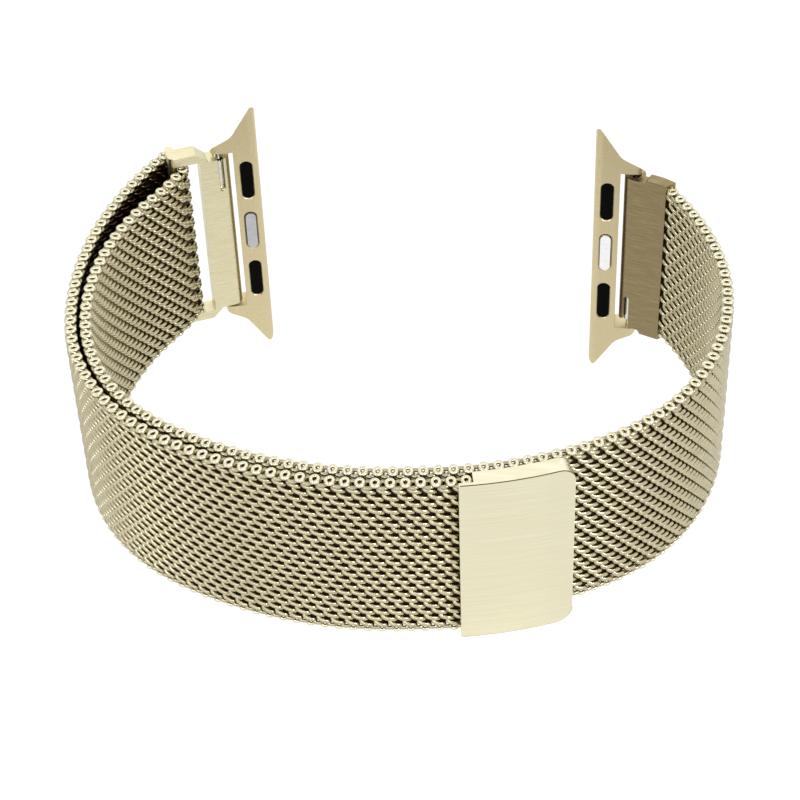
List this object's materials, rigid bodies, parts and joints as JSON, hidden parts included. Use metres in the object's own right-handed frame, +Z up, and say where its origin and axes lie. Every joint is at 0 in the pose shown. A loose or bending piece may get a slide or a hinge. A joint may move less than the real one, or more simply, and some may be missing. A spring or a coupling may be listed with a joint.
{
  "type": "milanese mesh watch band",
  "caption": "Closed woven steel mesh loop band: magnetic clasp on the folded-back tail, slider loop, and sliding lug adapters on sprung bars.",
  "frame": {"origin": "middle of the footprint's bounding box, at the height of what the band stands on", "axes": "+X from the left lug adapter to the right one, +Y from the clasp to the adapters, +Z up; the strap's width runs along +Z, leaned a little towards the clasp"},
  "size_m": [0.0658, 0.0524, 0.0322],
  "materials": {
    "mesh_steel": "polished champagne coated stainless wire, woven",
    "blasted_steel": "bead-blasted champagne coated stainless steel",
    "plate_steel": "satin champagne coated stainless steel",
    "clasp_steel": "brushed along the strap, champagne coated stainless steel",
    "bar_steel": "bright uncoated stainless steel",
    "lock_metal": "satin silver",
    "spring_steel": "plain spring steel",
    "magnet": "nickel-plated magnet",
    "pad_rubber": "black rubber"
  },
  "bodies": {
    "front": {"mesh_front": "mesh_steel"},
    "right_a": {"mesh_right_a": "mesh_steel"},
    "right_b": {"mesh_right_b": "mesh_steel"},
    "right_c": {"mesh_right_c": "mesh_steel", "end_plate_right": "plate_steel", "spring_bar_tube_right": "bar_steel", "spring_bar_fixed_tip_right": "bar_steel", "spring_bar_spring_right": "spring_steel"},
    "adapter_right": {"lug_adapter_right": "blasted_steel", "friction_pads_right": "pad_rubber", "lock_spring_right": "spring_steel"},
    "lock_right": {"lock_button_right": "lock_metal"},
    "release_tip_right": {"spring_bar_release_tip_right": "bar_steel"},
    "left_side": {"mesh_left_inner": "mesh_steel", "mesh_fold": "mesh_steel", "mesh_left_outer": "mesh_steel", "slider_loop": "plate_steel", "spring_bar_tube_left": "bar_steel", "spring_bar_fixed_tip_left": "bar_steel", "spring_bar_spring_left": "spring_steel"},
    "adapter_left": {"lug_adapter_left": "blasted_steel", "friction_pads_left": "pad_rubber", "lock_spring_left": "spring_steel"},
    "lock_left": {"lock_button_left": "lock_metal"},
    "release_tip_left": {"spring_bar_release_tip_left": "bar_steel"},
    "tail": {"mesh_tail_a": "mesh_steel"},
    "clasp": {"mesh_tail_b": "mesh_steel", "clasp_cover": "clasp_steel", "clasp_body": "clasp_steel", "clasp_back_plate": "bar_steel", "clasp_magnets": "magnet"}
  },
  "joints": [
    {"name": "right_mesh_bend_a", "type": "hinge", "parent": "front", "child": "right_a", "pos_m": [0.02495, -0.01419, 0.01148], "axis": [0, 0.1267, -0.9919], "range_deg": [-12, 35]},
    {"name": "right_mesh_bend_b", "type": "hinge", "parent": "right_a", "child": "right_b", "pos_m": [0.03119, -0.0042, 0.01276], "axis": [0, 0.1267, -0.9919], "range_deg": [-12, 35]},
    {"name": "right_mesh_bend_c", "type": "hinge", "parent": "right_b", "child": "right_c", "pos_m": [0.03169, 0.00855, 0.01439], "axis": [0, 0.1267, -0.9919], "range_deg": [-12, 35]},
    {"name": "right_lug_swing", "type": "hinge", "parent": "right_c", "child": "adapter_right", "pos_m": [0.02245, 0.02214, 0.01612], "axis": [0, 0.1267, -0.9919], "range_deg": [-35, 45]},
    {"name": "right_lock_press", "type": "slide", "parent": "adapter_right", "child": "lock_right", "axis": [-0.005, 0.9919, 0.1267], "range_m": [0, 0.00045], "stiffness_N_per_m": 400, "springref_m": -0.0005},
    {"name": "right_tip_release", "type": "slide", "parent": "right_c", "child": "release_tip_right", "axis": [0, -0.1267, 0.9919], "range_m": [0, 0.0008], "stiffness_N_per_m": 600, "springref_m": -0.0005},
    {"name": "left_mesh_bend", "type": "hinge", "parent": "front", "child": "left_side", "pos_m": [-0.01921, -0.01867, 0.01091], "axis": [0, -0.1267, 0.9919], "range_deg": [-4, 30]},
    {"name": "left_lug_swing", "type": "hinge", "parent": "left_side", "child": "adapter_left", "pos_m": [-0.02153, 0.02214, 0.01612], "axis": [0, -0.1267, 0.9919], "range_deg": [-35, 45]},
    {"name": "left_lock_press", "type": "slide", "parent": "adapter_left", "child": "lock_left", "axis": [-0.2298, 0.9654, 0.1234], "range_m": [0, 0.00045], "stiffness_N_per_m": 400, "springref_m": -0.0005},
    {"name": "left_tip_release", "type": "slide", "parent": "left_side", "child": "release_tip_left", "axis": [0, 0.1267, -0.9919], "range_m": [0, 0.0008], "stiffness_N_per_m": 600, "springref_m": -0.0005},
    {"name": "tail_bend", "type": "hinge", "parent": "left_side", "child": "tail", "pos_m": [-0.02021, -0.01977, 0.01077], "axis": [0, -0.1267, 0.9919], "range_deg": [-30, 4]},
    {"name": "clasp_peel", "type": "hinge", "parent": "tail", "child": "clasp", "pos_m": [-0.00726, -0.02389, 0.01024], "axis": [0, 0.1267, -0.9919], "range_deg": [0, 70]}
  ],
  "couplings": [
    {"joint": "tail_bend", "follows": "left_mesh_bend", "ratio": -1}
  ]
}
